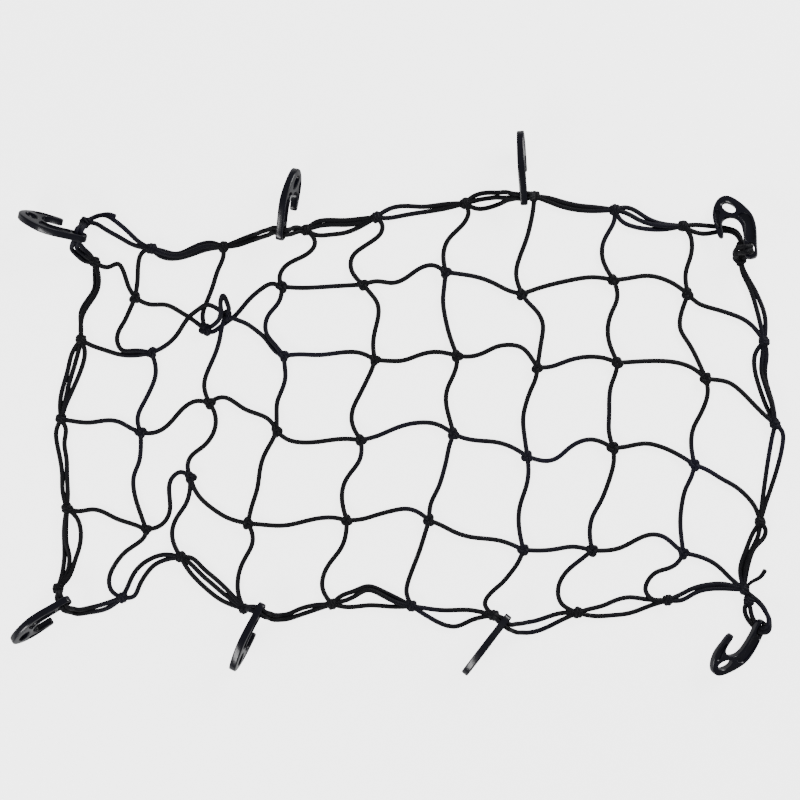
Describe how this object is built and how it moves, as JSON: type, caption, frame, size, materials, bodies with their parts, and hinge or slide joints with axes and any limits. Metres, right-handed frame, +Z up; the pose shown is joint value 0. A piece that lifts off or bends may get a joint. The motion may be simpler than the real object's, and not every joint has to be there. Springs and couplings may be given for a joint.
{
  "type": "cargo net",
  "caption": "Knotted net of black braided elastic cord with a multi-strand edge cord and flat black plastic hooks, lying loosely spread out.",
  "frame": {"origin": "middle of the bounding box at the surface the net lies on", "axes": "+X along the net's long side, +Y from the lower to the upper edge of the picture, +Z up"},
  "size_m": [0.7685, 0.5385, 0.0389],
  "materials": {
    "cord": "fine black braided polyester sleeve over a rubber core, matt with a faint sheen",
    "plastic": "black moulded plastic with a soft gloss"
  },
  "bodies": {
    "root": {"edge_bottom": "cord", "edge_left": "cord", "edge_right": "cord", "edge_top": "cord", "hook_bottom_1": "plastic", "hook_bottom_2": "plastic", "hook_bottom_left": "plastic", "hook_bottom_right": "plastic", "hook_top_1": "plastic", "hook_top_2": "plastic", "hook_top_left": "plastic", "hook_top_right": "plastic", "mesh": "cord"}
  },
  "joints": []
}
